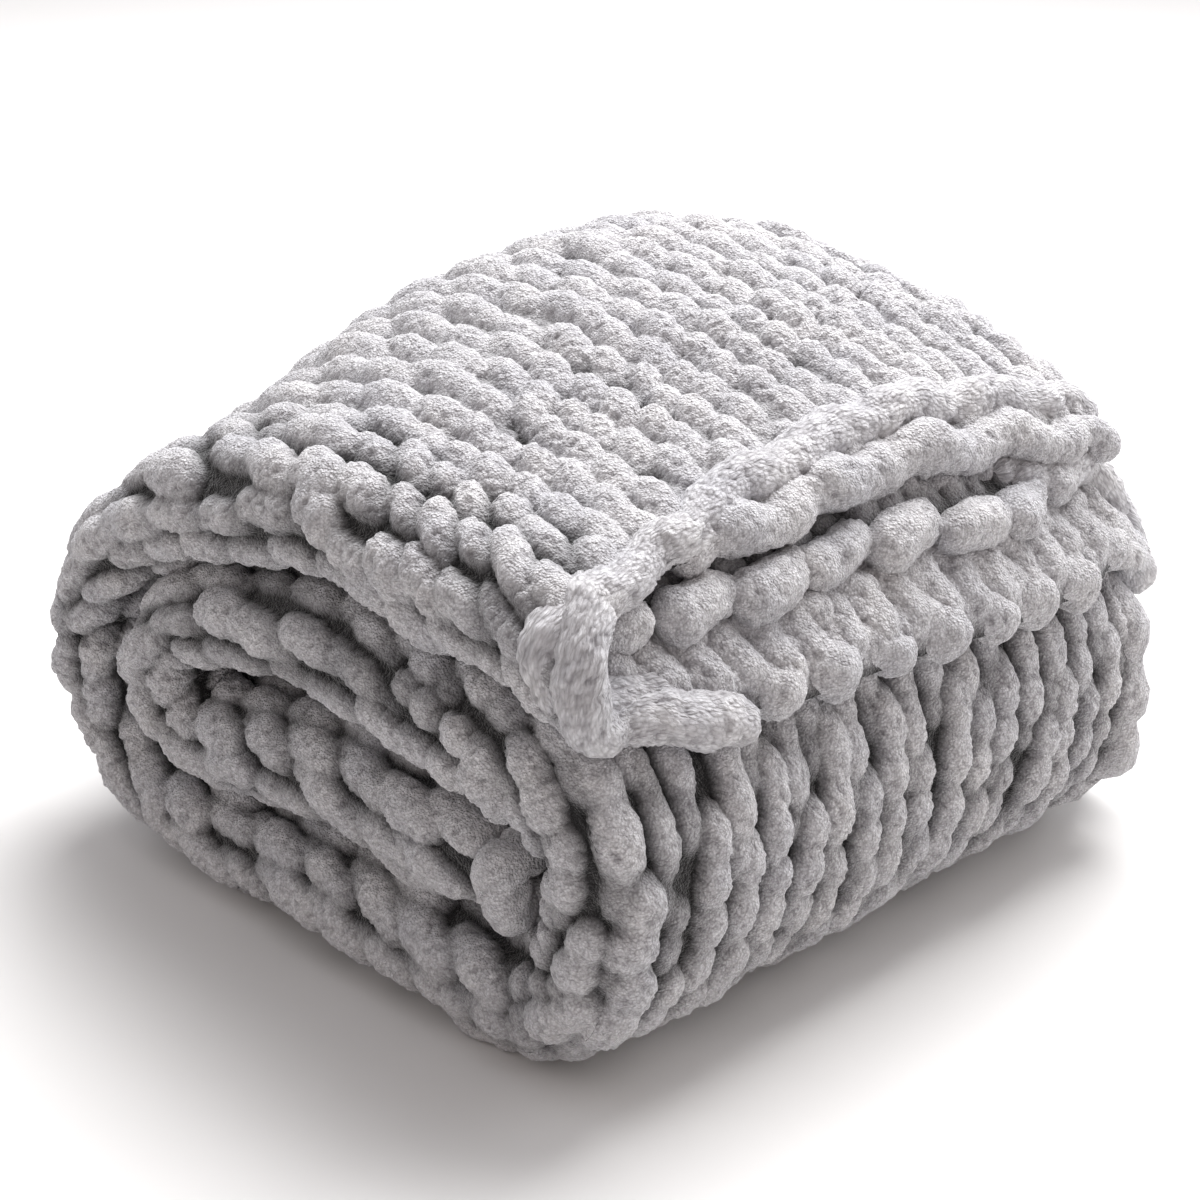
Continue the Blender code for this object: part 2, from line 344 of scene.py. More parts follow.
RNG = np.random.default_rng(11)
RIDGES = 59  # ridges of loops across the flat width
RIDGE = WIDTH / RIDGES
BUMPS = 44  # bumps along each ridge: the heads and sinkers of its loops, by turns
BUMP = LENGTH / BUMPS
YARN = 0.0117  # radius of the chenille yarn
LEAN = 0.0058  # how far each bump slants across its ridge
SWAY = 0.0016  # how far bumps stand to either side of the ridge by turns
LIFT = 0.0023  # how far a bump's middle stands out past its ends
TUCK = 0.0027  # how far a bump's later end lies over the next one's first
UNDER = 0.0056  # how deep the yarn that closes the valley between two ridges lies
CELL = 0.00125  # step of the flat grid of heights
FLOOR = 0.0016  # the skin never sinks below this, where the cloth's core is
MARGIN = 0.03

# Loose stitches that leave dark gaps, and how uneven the bumps are, by range of the flat width
LOOSE = (
    # up to, share of loose stitches, unevenness, how much deeper the valleys are, how much more the bumps slant
    (FOLD[1] - 0.03, 0.06, 1.0, 0.0005, 1.0),
    (FOLD[2] + 0.02, 0.30, 1.35, 0.0060, 1.45),
    (WIDTH, 0.06, 1.0, 0.002, 1.2),
)


class Field:
    """Heights of the yarn's outer and inner sides over the flat cloth."""

    def __init__(self):
        self.ns = int((LENGTH + 2 * MARGIN) / CELL) + 1
        self.nu = int((WIDTH + 2 * MARGIN) / CELL) + 1
        self.out = np.full(self.ns * self.nu, -1.0, np.float64)
        self.inn = np.full(self.ns * self.nu, 1.0, np.float64)

    def lay(self, s, u, n, r):
        """Lays yarn of radius r along points s, u at height n."""
        reach = int(math.ceil(float(np.max(r)) / CELL)) + 1
        i0 = np.round((s + MARGIN) / CELL).astype(np.int64)
        j0 = np.round((u + MARGIN) / CELL).astype(np.int64)
        for di in range(-reach, reach + 1):
            i = i0 + di
            ds = i * CELL - MARGIN - s
            for dj in range(-reach, reach + 1):
                j = j0 + dj
                du = j * CELL - MARGIN - u
                rest = r * r - ds * ds - du * du
                ok = (rest > 0) & (i >= 0) & (i < self.ns) & (j >= 0) & (j < self.nu)
                k = i[ok] * self.nu + j[ok]
                up = np.sqrt(rest[ok])
                np.maximum.at(self.out, k, n[ok] + up)
                np.minimum.at(self.inn, k, n[ok] - up)

    def at(self, s, u, outer=True):
        grid = (self.out if outer else self.inn).reshape(self.ns, self.nu)
        fs = np.clip((s + MARGIN) / CELL, 0, self.ns - 1.001)
        fu = np.clip((u + MARGIN) / CELL, 0, self.nu - 1.001)
        i, j = fs.astype(np.int64), fu.astype(np.int64)
        a, b = fs - i, fu - j
        g = np.clip(grid, FLOOR, 0.1) if outer else np.clip(grid, -0.1, -FLOOR)
        return (
            g[i, j] * (1 - a) * (1 - b) + g[i + 1, j] * a * (1 - b) + g[i, j + 1] * (1 - a) * b + g[i + 1, j + 1] * a * b
        )


def knit(field):
    """Ridge by ridge: a row of fat bumps of yarn, each slanted and tucked under the one before, and yarn between."""
    f = np.linspace(-0.16, 1.16, 26)  # along one bump
    hump = 1.0 - (2.0 * f - 1.0) ** 2
    parted = np.zeros((RIDGES, BUMPS + 2))
    loose = np.zeros((RIDGES + 1, BUMPS + 2), bool)
    for k in range(RIDGES):
        share = next(row[1] for row in LOOSE if k * RIDGE <= row[0])
        loose[k, 1:-1] = RNG.random(BUMPS) < share
    for k in range(RIDGES):
        parted[k] += 0.0034 * loose[k] - 0.0034 * loose[k + 1]
    drift = 0.0
    for k in range(RIDGES):
        uneven, slant = next((row[2], row[4]) for row in LOOSE if k * RIDGE <= row[0])
        drift = 0.6 * drift + 0.005 * RNG.standard_normal()
        start = np.arange(BUMPS + 1) * BUMP + drift + (0.5 * BUMP if k % 2 else 0.0) - 0.5 * BUMP
        start = start + 0.0026 * uneven * RNG.standard_normal(BUMPS + 1)
        middle = (k + 0.5) * RIDGE
        laid = []
        for m in range(BUMPS):
            size = 1.0 + 0.055 * uneven * RNG.standard_normal()
            span = (start[m + 1] - start[m]) * (1.0 + 0.05 * RNG.standard_normal())
            s = start[m] + f * span
            u = (
                middle
                - LEAN * slant * (1.0 + 0.35 * uneven * RNG.standard_normal()) * (f - 0.5)
                + SWAY * (1 if m % 2 else -1)
                + 0.0009 * uneven * RNG.standard_normal()
                + parted[k, m + 1]
            )
            n = LIFT * (hump - 0.75) + TUCK * (2.0 * f - 1.0) + 0.0013 * uneven * RNG.standard_normal()
            r = YARN * size * (1.0 - 0.10 * (0.6 + 0.6 * uneven) * np.abs(2.0 * f - 1.0) ** 3)
            ribs = ease(s, 1.00, 1.06) * ease(1.34 - s, 0.0, 0.05)
            lumps = np.maximum(ribs, 0.4 if uneven > 1.2 else 0.0) * np.cos(4.0 * math.pi * f + RNG.uniform(-0.6, 0.6))
            n = n + 0.0013 * lumps
            r = r * (1.0 + 0.06 * lumps - 0.09 * ribs)
            u = u - ribs * LEAN * 0.7 * (f - 0.5)
            laid.append(np.array([s, u, n, np.clip(r, 0.006, 0.0135)]))
        s, u, n, r = np.concatenate(laid, axis=1)
        field.lay(s, u + 0.0042 * flat_noise(s, u, 0.12, 0.09, 3), n, r)
    # the yarn behind, which closes the valleys except at loose stitches
    s = np.arange(0.0, LENGTH, 0.002)
    for k in range(RIDGES + 1):
        r = np.full(len(s), YARN * 0.95)
        for m in np.flatnonzero(loose[k]):
            r = r * (1.0 - 0.9 * np.exp(-(((s - (m - 0.5) * BUMP) / 0.0095) ** 4)))
        u = k * RIDGE + 0.0015 * np.sin(s / BUMP * 2 * math.pi + k) + 0.0042 * flat_noise(s, s * 0 + k * RIDGE, 0.12, 0.09, 3)
        deeper = next((row[3] for row in LOOSE if k * RIDGE <= row[0]), 0.0)
        ribs = 0.0080 * ease(s, 1.00, 1.06) * ease(1.34 - s, 0.0, 0.05)  # stretched round the right-hand turn
        field.lay(s, u, -UNDER - np.maximum(deeper, ribs), np.maximum(r, 0.002))


FIELD = Field()
knit(FIELD)

# ================================================================ meshes


def vertex_normals(points, quads):
    face = np.cross(points[quads[:, 2]] - points[quads[:, 0]], points[quads[:, 3]] - points[quads[:, 1]])
    total = np.zeros_like(points)
    for k in range(4):
        for axis in range(3):
            total[:, axis] += np.bincount(quads[:, k], face[:, axis], len(points))
    return total / np.maximum(np.linalg.norm(total, axis=1), 1e-12)[:, None]


NUB, NUB_DEPTH = 0.0040, 0.0023


def fuzzy(points, normals):
    """The chenille's nubs, and softer lumps under them."""
    nubs = nub_noise(points / NUB, 21)
    out = (nubs - 0.55) * NUB_DEPTH + 0.0006 * soft_noise(points / 0.0017, 23) + 0.0007 * soft_noise(points / 0.0085, 29)
    return points + normals * out[:, None], nubs


def built(name, points, quads, shade_height, nubs, strand, material):
    """Makes the object and gives it to the body, in place of the plain solid."""
    mesh = bpy.data.meshes.new(name)
    mesh.vertices.add(len(points))
    mesh.vertices.foreach_set("co", points.astype(np.float32).ravel())
    mesh.loops.add(len(quads) * 4)
    mesh.loops.foreach_set("vertex_index", quads.astype(np.int32).ravel())
    mesh.polygons.add(len(quads))
    mesh.polygons.foreach_set("loop_start", (np.arange(len(quads)) * 4).astype(np.int32))
    mesh.polygons.foreach_set("loop_total", np.full(len(quads), 4, np.int32))
    mesh.update(calc_edges=True)
    mesh.shade_smooth()
    # painted shade: the share of full tint that the material gives each point
    painted_shade = mesh.attributes.new("painted_shade", "FLOAT", "POINT")
    painted_shade.data.foreach_set("value", shade_height.astype(np.float32))
    # the nubs' height, which the material also uses for painted shade in their creases
    painted_nub_shade = mesh.attributes.new("nubs", "FLOAT", "POINT")
    painted_nub_shade.data.foreach_set("value", nubs.astype(np.float32))
    flow = mesh.attributes.new("strand", "FLOAT_VECTOR", "POINT")
    flow.data.foreach_set("vector", strand.astype(np.float32).ravel())
    mesh.materials.append(material)
    thing = bpy.data.objects.new(name, mesh)
    bpy.context.scene.collection.objects.link(thing)
    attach(thing, "root")
    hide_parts("blanket")
    return thing


def skin(name, s_range, u_range, step_s, step_u, outer, material, trim=0.0):
    """One stretch of the knitting's skin: a grid of quads that follows the yarn's outer or inner side."""
    ns = max(2, int(round((s_range[1] - s_range[0]) / step_s)) + 1)
    nu = max(2, int(round((u_range[1] - u_range[0]) / step_u)) + 1)
    s, u = np.meshgrid(np.linspace(*s_range, ns), np.linspace(*u_range, nu), indexing="ij")
    s, u = s.ravel(), u.ravel()
    side = 1.0 if outer else -1.0
    h = FIELD.at(s, u, outer)
    low = side * FLOOR
    h = low + (h - low) * ease(s, trim - 0.008, trim + 0.018) * ease(LENGTH - s, -0.004, 0.02)
    h = low + (h - low) * (0.35 + 0.65 * ease(u, 0.0, 0.02))
    points = placed(s, u, h + 0.003 * flat_noise(s, u, 0.09, 0.08, 7))
    i, j = np.meshgrid(np.arange(ns - 1), np.arange(nu - 1), indexing="ij")
    a = (i * nu + j).ravel()
    quads = np.column_stack([a, a + nu, a + nu + 1, a + 1])
    normals = vertex_normals(points, quads)
    mid = len(s) // 2
    probe = placed(s[mid : mid + 1], u[mid : mid + 1], h[mid : mid + 1] + side * 0.001) - placed(
        s[mid : mid + 1], u[mid : mid + 1], h[mid : mid + 1]
    )
    if (normals[mid] * probe[0]).sum() < 0:
        quads, normals = quads[:, ::-1], -normals
    points, nubs = fuzzy(points, normals)
    points[:, 2] = np.maximum(points[:, 2], 0.0006)
    # painted shade: the colour darkens with the yarn's height over the core, from near black at the core to full tint
    # on the tops
    shade_height = np.clip((np.abs(h) - FLOOR) / (YARN + 0.0035 - FLOOR), 0.0, 1.0)
    if outer:  # the flat top's valleys are shallow and well lit
        shade_height = shade_height ** (1.0 - 0.5 * ease(FOLD[1] - 0.02 - u, 0.0, 0.03) * ease(0.98 - s, 0.0, 0.06))
    strand = np.column_stack([s, u, h])
    return built(name, points, quads, shade_height, nubs, strand, material)


def through(table, step):
    """Even points on a smooth curve through the table's rows."""
    knots = np.array(table, float)
    at = np.r_[0.0, np.cumsum(np.linalg.norm(np.diff(knots[:, :2], axis=0), axis=1))]
    count = max(8, int(round(at[-1] / step)) + 1)
    fine = np.linspace(0.0, at[-1], count)
    path = np.column_stack([np.interp(fine, at, knots[:, k]) for k in range(knots.shape[1])])
    for _ in range(int(0.010 / step) ** 2 // 2 + 2):
        path[1:-1] = 0.25 * path[:-2] + 0.5 * path[1:-1] + 0.25 * path[2:]
    return path


def rope(name, tables, step=0.0018, around=34, beads=0.0, bead=0.036, material=None):
    """Lengths of yarn as one mesh. Each table has rows of s, u, height and radius."""
    all_points, all_quads, all_strand, all_nubs, count = [], [], [], [], 0
    for which, table in enumerate(tables):
        path = through(table, step)
        s, u, h, r = path.T
        along = np.r_[0.0, np.cumsum(np.hypot(np.diff(s), np.diff(u)))]
        wave = 2 * math.pi * along / bead + which
        wander = np.column_stack([along / 0.024, s * 0 + which, s * 0])
        r = r * (1.0 + beads * np.cos(2 * wave) * 0.5 + 0.13 * soft_noise(wander, 31))
        s = s + 0.0026 * soft_noise(wander * (0.7, 1, 1), 33)
        h = h + 0.0020 * soft_noise(wander * (1.2, 1, 1), 35)
        s = s + beads * 0.016 * np.sin(wave)
        h = h + beads * 0.012 * np.sin(wave + 1.2)
        centre = placed(s, u, h)
        tangent = np.gradient(centre, axis=0)
        tangent /= np.linalg.norm(tangent, axis=1)[:, None]
        up = placed(s, u, h + 0.002) - placed(s, u, h - 0.002)
        up -= (up * tangent).sum(axis=1)[:, None] * tangent
        up /= np.linalg.norm(up, axis=1)[:, None]
        across = np.cross(tangent, up)
        # rounded ends
        length = np.r_[0.0, np.cumsum(np.linalg.norm(np.diff(centre, axis=0), axis=1))]
        for end in (length, length[-1] - length):
            inside = np.clip(end / r, 0.0, 1.0)
            r = r * np.sqrt(np.clip(1.0 - (1.0 - inside) ** 2, 0.0004, 1.0))
        angle = np.linspace(0, 2 * math.pi, around, endpoint=False)
        ring = centre[:, None] + r[:, None, None] * (
            np.cos(angle)[None, :, None] * up[:, None] + np.sin(angle)[None, :, None] * across[:, None]
        )
        points = ring.reshape(-1, 3)
        i, j = np.meshgrid(np.arange(len(s) - 1), np.arange(around), indexing="ij")
        a, b = (i * around + j).ravel(), (i * around + (j + 1) % around).ravel()
        quads = np.column_stack([a, b, b + around, a + around])
        outward_ = points - np.repeat(centre, around, axis=0)
        normals = outward_ / np.maximum(np.linalg.norm(outward_, axis=1), 1e-9)[:, None]
        if (vertex_normals(points, quads)[len(points) // 2] * normals[len(points) // 2]).sum() < 0:
            quads = quads[:, ::-1]
        lump = 0.0016 * soft_noise(points / 0.013, 37) + 0.0016 * (nub_noise(points / 0.0095, 39) - 0.5)
        thick = ease(np.repeat(r, around), 0.001, 0.006)[:, None]
        points, nubs = fuzzy(points + normals * lump[:, None] * thick, normals * thick)
        points[:, 2] = np.maximum(points[:, 2], 0.0006)
        all_points.append(points)
        all_quads.append(quads + count)
        turn = np.tile(angle, len(s))
        all_strand.append(np.column_stack([np.repeat(along, around), np.cos(turn) * 0.011, np.sin(turn) * 0.011]))
        all_nubs.append(nubs)
        count += len(points)
    points, nubs = np.vstack(all_points), np.concatenate(all_nubs)
    return built(name, points, np.vstack(all_quads), np.ones(len(points)), nubs, np.vstack(all_strand), material)


# ================================================================ materials


def yarn_material(name, tint, streaks=False):
    """Chenille: fine tufts with painted shade in their creases, a soft sheen, and painted shade where the yarn dips
    between stitches.
    """
    made = bpy.data.materials.new(name)
    made.use_nodes = True
    tree = made.node_tree
    nodes, links = tree.nodes, tree.links
    shader = nodes["Principled BSDF"]
    shader.inputs["Roughness"].default_value = 0.92
    shader.inputs["Specular IOR Level"].default_value = 0.12
    shader.inputs["Sheen Weight"].default_value = 0.30
    shader.inputs["Sheen Roughness"].default_value = 0.55
    coords = nodes.new("ShaderNodeTexCoord")
    place = coords.outputs["Object"]
    if streaks:
        flow = nodes.new("ShaderNodeAttribute")
        flow.attribute_name = "strand"
        stretch = nodes.new("ShaderNodeMapping")
        stretch.inputs["Scale"].default_value = (0.45, 1.0, 1.0)
        links.new(flow.outputs["Vector"], stretch.inputs["Vector"])
        place = stretch.outputs["Vector"]

    def noise(scale, detail, source):
        node = nodes.new("ShaderNodeTexNoise")
        node.inputs["Scale"].default_value = scale
        node.inputs["Detail"].default_value = detail
        links.new(source, node.inputs["Vector"])
        return node.outputs["Fac"]

    def ramp(source, low, dark, high, light):
        node = nodes.new("ShaderNodeValToRGB")
        node.color_ramp.elements[0].position = low
        node.color_ramp.elements[0].color = (*dark, 1)
        node.color_ramp.elements[1].position = high
        node.color_ramp.elements[1].color = (*light, 1)
        links.new(source, node.inputs["Fac"])
        return node.outputs["Color"]

    def times(a, b, share=1.0):
        node = nodes.new("ShaderNodeMix")
        node.data_type = "RGBA"
        node.blend_type = "MULTIPLY"
        node.inputs["Factor"].default_value = share
        links.new(a, node.inputs["A"])
        links.new(b, node.inputs["B"])
        return node.outputs["Result"]

    # painted shade: near black where the yarn sinks to the core, full tint on the yarn's tops
    painted_shade = nodes.new("ShaderNodeAttribute")
    painted_shade.attribute_name = "painted_shade"
    colour = ramp(painted_shade.outputs["Fac"], 0.06, [c * 0.05 for c in tint], 0.70, tint)
    nubs = nodes.new("ShaderNodeAttribute")
    nubs.attribute_name = "nubs"
    # painted shade in the creases between the nubs, and slightly lighter tips
    colour = times(colour, ramp(nubs.outputs["Fac"], 0.18, (0.66, 0.65, 0.66), 0.72, (1.10, 1.10, 1.10)))
    tufts = nodes.new("ShaderNodeTexVoronoi")
    tufts.inputs["Scale"].default_value = 640.0
    links.new(place, tufts.inputs["Vector"])
    # painted shade in the creases between the fine tufts, where the bump below sinks
    colour = times(colour, ramp(tufts.outputs["Distance"], 0.15, (1.08, 1.08, 1.08), 0.85, (0.68, 0.67, 0.67)))
    colour = times(colour, ramp(noise(260.0, 3.0, place), 0.34, (0.80, 0.79, 0.80), 0.62, (1.07, 1.07, 1.07)))
    colour = times(colour, ramp(noise(24.0, 2.0, coords.outputs["Object"]), 0.3, (0.88, 0.88, 0.90), 0.7, (1.05, 1.04, 1.03)))
    links.new(colour, shader.inputs["Base Color"])
    height = nodes.new("ShaderNodeMath")
    height.operation = "MULTIPLY_ADD"
    links.new(tufts.outputs["Distance"], height.inputs[0])
    height.inputs[1].default_value = -1.0
    links.new(noise(900.0, 2.0, place), height.inputs[2])
    bump = nodes.new("ShaderNodeBump")
    bump.inputs["Strength"].default_value = 0.9
    bump.inputs["Distance"].default_value = 0.0017
    links.new(height.outputs["Value"], bump.inputs["Height"])
    links.new(bump.outputs["Normal"], shader.inputs["Normal"])
    return made


TINT = (0.675, 0.672, 0.69)
YARN_LOOK = yarn_material("chenille_yarn", TINT)
ROPE_LOOK = yarn_material("chenille_edge", tuple(0.89 * c for c in TINT), streaks=True)

# ================================================================ the skin, stretch by stretch

SKINS = (
    # name, s from, s to, u from, u to, step along s, step along u, outer side, edge kept back
    ("top_right", 0.002, 0.34, 0.0, FOLD[1] + 0.02, 0.0018, 0.00132, True, 0.002),
    ("top_left", 0.34, 0.70, 0.0, FOLD[1] + 0.02, 0.0019, 0.00135, True, 0.0),
    ("lower_left_and_floor", 0.70, 1.03, 0.0, FOLD[1] + 0.02, 0.0034, 0.0024, True, 0.0),
    ("right_turn", 1.03, 1.31, 0.0, FOLD[1] + 0.02, 0.0018, 0.00132, True, 0.0),
    ("near_side_first_round", 0.002, 0.95, FOLD[1] + 0.02, FOLD[2] + 0.012, 0.0017, 0.00130, True, -0.004),
    ("near_side_second_round", 0.95, LENGTH, FOLD[1] + 0.02, FOLD[2] + 0.012, 0.0017, 0.00130, True, 0.0),
    ("inner_top_layer", 1.31, LENGTH, FOLD[1] - 0.05, FOLD[1] + 0.02, 0.0020, 0.0016, True, 0.0),
    ("near_side_bottom", 0.0, LENGTH, FOLD[2] + 0.012, FOLD[2] + 0.03, 0.0030, 0.0020, True, 0.0),
    ("flap_middle_layer", 0.004, 0.14, FOLD[4] + 0.05, FOLD[5], 0.0018, 0.00132, True, 0.012),
    ("flap_bottom_layer", 0.002, 0.13, FOLD[2] - 0.03, FOLD[3] + 0.01, 0.0018, 0.00132, False, 0.006),
    ("flap_underside", 0.002, 0.10, FOLD[1] - 0.16, FOLD[2] - 0.03, 0.0024, 0.0018, False, 0.006),
    ("far_side", 0.018, LENGTH, FOLD[3] - 0.03, FOLD[4] + 0.05, 0.0034, 0.0021, True, 0.026),
)
for name, s0, s1, u0, u1, ds, du, outer, trim in SKINS:
    skin(name, (s0, s1), (u0, u1), ds, du, outer, YARN_LOOK, trim)

# ================================================================ edges: the bound-off ropes, and loops that turn

F1, F2, F3, F4 = FOLD[1:5]
# The flap's edge: two plain ropes side by side on the top layer. The outer one runs on round the near corner.
rope(
    "bound_off_edge",
    [
        # s, u, height, radius
        [(0.022, -0.004, 0.002, 0.0115), (0.019, 0.05, 0.004, 0.0125), (0.021, 0.16, 0.0045, 0.0130),
         (0.018, 0.28, 0.004, 0.0128), (0.011, 0.36, 0.002, 0.0126), (0.002, F1 - 0.004, 0.001, 0.0126),
         (-0.005, F1 + 0.020, -0.002, 0.0120), (-0.007, F1 + 0.045, -0.003, 0.0116), (-0.005, F2 - 0.010, -0.003, 0.0114),
         (0.002, F2 + 0.022, -0.001, 0.0142), (0.001, F2 + 0.050, 0.000, 0.0140), (-0.006, F2 + 0.084, 0.000, 0.0112)],
        [(0.017, F1 - 0.034, -0.003, 0.0095), (0.013, F1 + 0.012, -0.002, 0.0120), (0.013, F2 - 0.020, -0.002, 0.0118),
         (0.018, F2 + 0.014, -0.002, 0.0120), (0.018, F2 + 0.044, -0.003, 0.0100)],
    ],
    beads=0.10,
    bead=0.070,
    material=ROPE_LOOK,
)
rope(
    "bound_off_second",
    [[(0.001, -0.002, -0.004, 0.0112), (0.001, 0.05, -0.004, 0.0126), (0.000, 0.16, -0.004, 0.0128),
      (0.001, 0.25, -0.004, 0.0128), (0.003, 0.31, -0.005, 0.0124), (0.010, 0.345, -0.006, 0.0115)]],
    beads=0.22,
    bead=0.076,
    material=YARN_LOOK,
)


def turning_loops(first, last, pitch, s_in, s_out, lean, height, radius):
    """Loops that turn at a short edge: a fat yarn end every pitch, leaning over its neighbour."""
    tables = []
    for k in range(int((last - first) / pitch) + 1):
        u = first + k * pitch
        jitter = RNG.uniform(-1, 1, 4)
        tables.append(
            [
                (s_in + 0.003 * jitter[0], u - lean, height + 0.003, radius * 0.92),
                ((s_in + s_out) / 2, u, height + 0.001 * jitter[1], radius),
                (s_out + 0.003 * jitter[2], u + lean, height - 0.003, radius * (1.03 + 0.06 * jitter[3])),
            ]
        )
    return tables


def chained_beans(first, last, pitch, s_in, s_out, height, radius):
    """Fat stitches that lie along an edge: each comes out from behind the one before it."""
    tables = []
    for k in range(int((last - first) / pitch) + 1):
        u = first + k * pitch
        jitter = RNG.uniform(-1, 1, 5)
        tables.append(
            [
                (s_in + 0.002 * jitter[0], u - 0.012, height - 0.004, radius * 0.84),
                (s_out + 0.005 + 0.002 * jitter[1], u + 0.010, height + 0.001, radius * 0.98),
                (s_out + 0.001, u + 0.028, height + 0.001, radius),
                (s_out - 0.003 + 0.002 * jitter[2], u + 0.047 + 0.003 * jitter[3], height - 0.001, radius * (1.0 + 0.05 * jitter[4])),
            ]
        )
    return tables


rope(
    "flap_bottom_loops",
    turning_loops(F2 + 0.094, F3 - 0.012, 0.041, 0.044, 0.000, 0.023, 0.000, 0.0138)
    + turning_loops(F2 + 0.060, F3 - 0.02, 0.039, 0.080, 0.042, 0.018, -0.004, 0.0124)
    + turning_loops(F2 + 0.080, F3 - 0.02, 0.039, 0.116, 0.084, 0.012, -0.004, 0.0120),
    material=YARN_LOOK,
)
rope(
    "flap_middle_loops",
    chained_beans(F4 + 0.052, FOLD[5] - 0.055, 0.0500, 0.013, 0.0, -0.001, 0.0136)
    + turning_loops(F4 + 0.060, FOLD[5] - 0.05, 0.040, 0.060, 0.026, -0.016, -0.001, 0.0122)
    + [[(0.070, FOLD[5] - 0.02, 0.0, 0.0110), (0.030, FOLD[5] - 0.012, 0.0, 0.0125), (0.004, FOLD[5] - 0.026, 0.0, 0.0135),
        (0.000, FOLD[5] - 0.050, 0.0, 0.0128)]],
    material=YARN_LOOK,
)
rope(
    "flap_far_corner",
    [
        [(0.004, F3 - 0.05, 0.0, 0.0115), (0.000, F3 - 0.01, 0.0, 0.0115), (0.000, F3 + 0.020, 0.0, 0.0112),
         (0.000, F4, 0.0, 0.0112), (0.002, F4 + 0.06, 0.0, 0.0115), (0.012, F4 + 0.12, 0.002, 0.0105)],
        [(0.026, F4 + 0.030, 0.002, 0.0090), (0.020, F4 + 0.07, 0.003, 0.0112), (0.026, F4 + 0.13, 0.002, 0.0100)],
        [(0.030, F3 - 0.075, 0.000, 0.0100), (0.022, F3 - 0.040, 0.001, 0.0112), (0.028, F3 - 0.012, 0.001, 0.0085)],
    ],
    beads=0.10,
    bead=0.055,
    material=ROPE_LOOK,
)
rope(
    "long_free_edge",
    [[(0.01, 0.004, 0.0, 0.0105), (LENGTH * 0.5, 0.004, 0.0, 0.0105), (LENGTH - 0.01, 0.004, 0.0, 0.0105)]],
    step=0.0036,
    around=14,
    beads=0.25,
    material=YARN_LOOK,
)
rope(
    "inner_end",
    [[(LENGTH + 0.002, 0.0, 0.0, 0.0110), (LENGTH + 0.002, F1 - 0.08, 0.0, 0.0115), (LENGTH + 0.004, F1, 0.0, 0.0118),
      (LENGTH + 0.004, F2, 0.0, 0.0118), (LENGTH + 0.002, F2 + 0.08, 0.0, 0.0115), (LENGTH + 0.002, F3, 0.0, 0.0110),
      (LENGTH + 0.002, F4, 0.0, 0.0110), (LENGTH + 0.002, F4 + 0.1, 0.0, 0.0110)]],
    step=0.0026,
    around=18,
    beads=0.25,
    material=YARN_LOOK,
)

# ================================================================ the core: the cloth itself, all through its folds


def core():
    """The whole blanket as one thin closed sheet on its folds, which the knitting's skin covers. It is painted near
    black, as shade where it shows through the gaps.
    """
    half = 0.0012
    across = np.r_[
        np.linspace(0.004, F1, 12)[:-1],
        np.linspace(F1, F2, 9)[:-1],
        np.linspace(F2, F3, 12)[:-1],
        np.linspace(F3, F4, 8)[:-1],
        np.linspace(F4, WIDTH - 0.004, 12),
    ]
    lengthwise = np.linspace(0.004, LENGTH - 0.004, 190)
    ring = np.array([(v, half) for v in across] + [(v, -half) for v in across[::-1]])
    s, k = np.meshgrid(lengthwise, np.arange(len(ring)), indexing="ij")
    s, k = s.ravel(), k.ravel()
    points = placed(s, ring[k, 0], ring[k, 1] + 0.003 * flat_noise(s, ring[k, 0], 0.09, 0.08, 7))
    count = len(ring)
    quads = []
    for i in range(len(lengthwise) - 1):
        for j in range(count):
            a, b = i * count + j, i * count + (j + 1) % count
            quads.append((a, b, b + count, a + count))
    for i in (0, len(lengthwise) - 1):
        for j in range(count // 2 - 1):
            q = (i * count + j, i * count + j + 1, i * count + count - 2 - j, i * count + count - 1 - j)
            quads.append(q if i else q[::-1])
    quads = np.array(quads)
    strand = np.column_stack([s, ring[k, 0], ring[k, 1]])
    # zero shade height: the core takes the material's near-black painted shade
    return built("core_cloth_painted_shade", points, quads, np.zeros(len(points)), np.ones(len(points)), strand, YARN_LOOK)


CORE = core()

# ================================================================ floor, light and camera


def plain(name, colour, roughness):
    made = bpy.data.materials.new(name)
    made.use_nodes = True
    shader = made.node_tree.nodes["Principled BSDF"]
    shader.inputs["Base Color"].default_value = (*colour, 1)
    shader.inputs["Roughness"].default_value = roughness
    return made


floor_mesh = bpy.data.meshes.new("floor")
floor_mesh.from_pydata([(-8, -8, 0), (8, -8, 0), (8, 8, 0), (-8, 8, 0)], [], [(0, 1, 2, 3)])
floor_mesh.materials.append(plain("pale_floor", (0.80, 0.79, 0.78), 0.7))
floor = bpy.data.objects.new("floor", floor_mesh)
bpy.context.scene.collection.objects.link(floor)

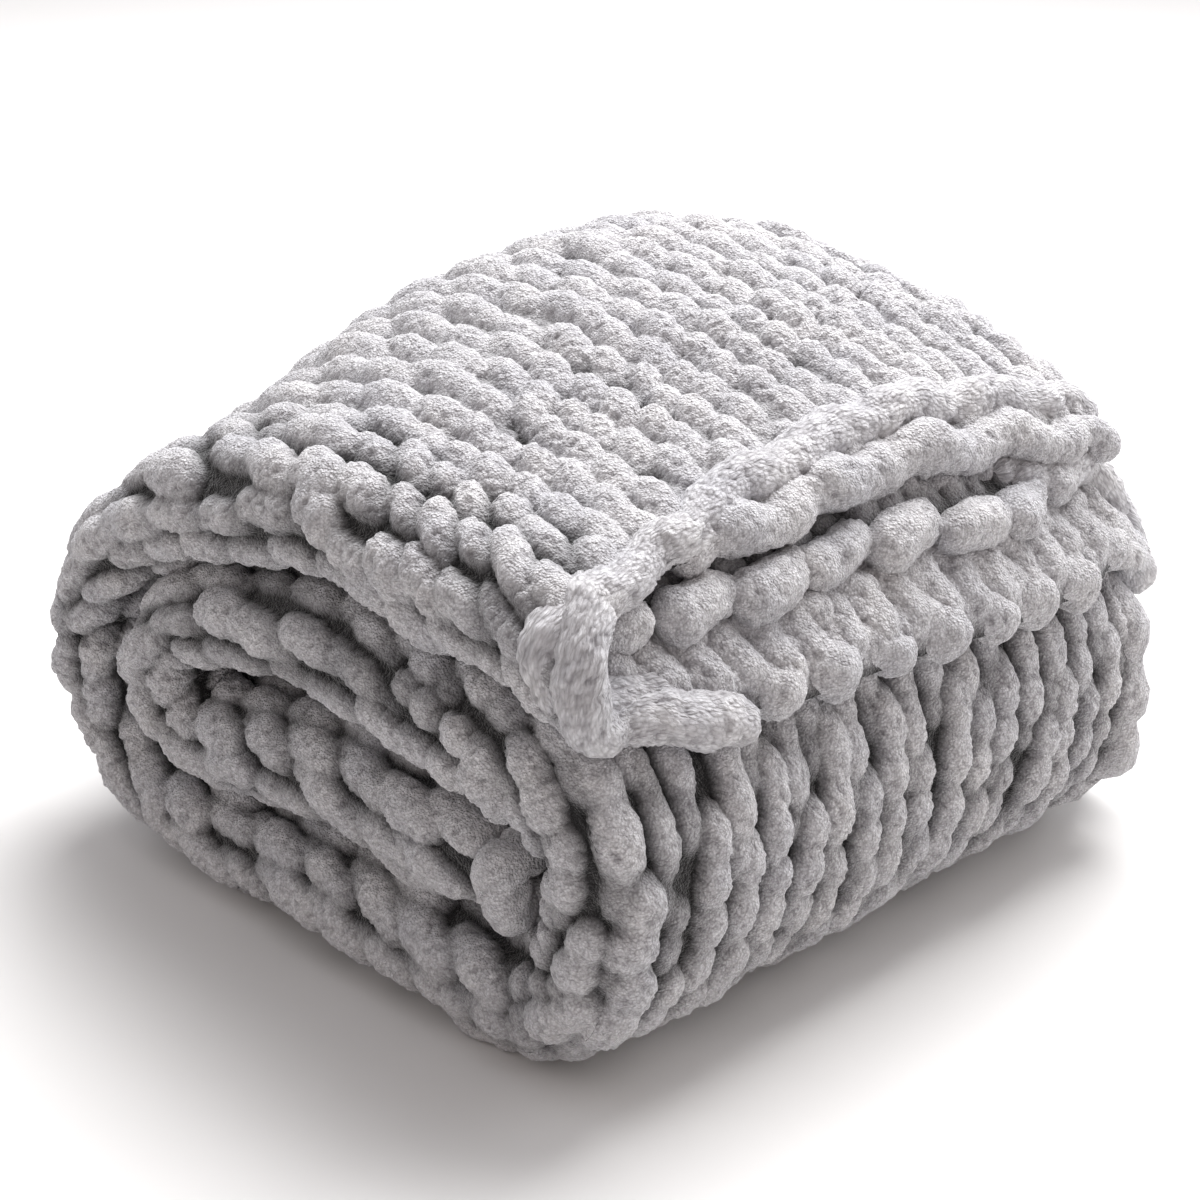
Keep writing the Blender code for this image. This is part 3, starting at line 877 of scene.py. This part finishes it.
world = bpy.data.worlds.new("studio")
bpy.context.scene.world = world
world.use_nodes = True
sky = world.node_tree.nodes
facing = sky.new("ShaderNodeVectorMath")
facing.operation = "DOT_PRODUCT"
facing.inputs[1].default_value = (-math.sin(math.radians(46.0)), math.cos(math.radians(46.0)), 0.35)
world.node_tree.links.new(sky.new("ShaderNodeTexCoord").outputs["Generated"], facing.inputs[0])
warmth = sky.new("ShaderNodeValToRGB")  # a warm room in front, a white window behind
warmth.color_ramp.elements[0].color = (0.85, 0.775, 0.745, 1)
warmth.color_ramp.elements[1].position = 0.12
warmth.color_ramp.elements[1].color = (0.98, 0.99, 1.03, 1)
world.node_tree.links.new(facing.outputs["Value"], warmth.inputs["Fac"])
world.node_tree.links.new(warmth.outputs["Color"], sky["Background"].inputs["Color"])
world.node_tree.nodes["Background"].inputs["Strength"].default_value = 0.62


def lamp(name, at, towards, size, power, colour=(1, 1, 1)):
    data = bpy.data.lights.new(name, "AREA")
    data.shape = "RECTANGLE"
    data.size, data.size_y = size
    data.energy = power
    data.color = colour
    thing = bpy.data.objects.new(name, data)
    thing.location = at
    thing.rotation_euler = (Vector(towards) - Vector(at)).to_track_quat("-Z", "Y").to_euler()
    bpy.context.scene.collection.objects.link(thing)


AZIMUTH, ELEVATION = math.radians(46.0), math.radians(24.5)
BACK = Vector((math.sin(AZIMUTH) * math.cos(ELEVATION), -math.cos(AZIMUTH) * math.cos(ELEVATION), math.sin(ELEVATION)))
RIGHT = Vector((math.cos(AZIMUTH), math.sin(AZIMUTH), 0))
AWAY = Vector((-math.sin(AZIMUTH), math.cos(AZIMUTH), 0))
lamp("window", AWAY * 1.0 + Vector((0, 0, 2.3)) + RIGHT * 0.45, (0, 0, 0.15), (2.4, 1.4), 118.0)
lamp("side_window", RIGHT * 2.1 + AWAY * 0.4 + Vector((0, 0, 1.0)), (0, 0, 0.15), (1.4, 1.2), 12.0)

cam_data = bpy.data.cameras.new("camera")
cam_data.lens = 2630.0 / 1200.0 * 36.0
cam_data.sensor_width = 36.0
camera = bpy.data.objects.new("camera", cam_data)
camera.location = Vector((0.0, -0.018, 0.153)) - Vector(SHIFT.tolist()) + BACK * 1.60
camera.rotation_euler = BACK.to_track_quat("Z", "Y").to_euler()
bpy.context.scene.collection.objects.link(camera)
bpy.context.scene.camera = camera
bpy.context.scene.view_settings.view_transform = "Standard"
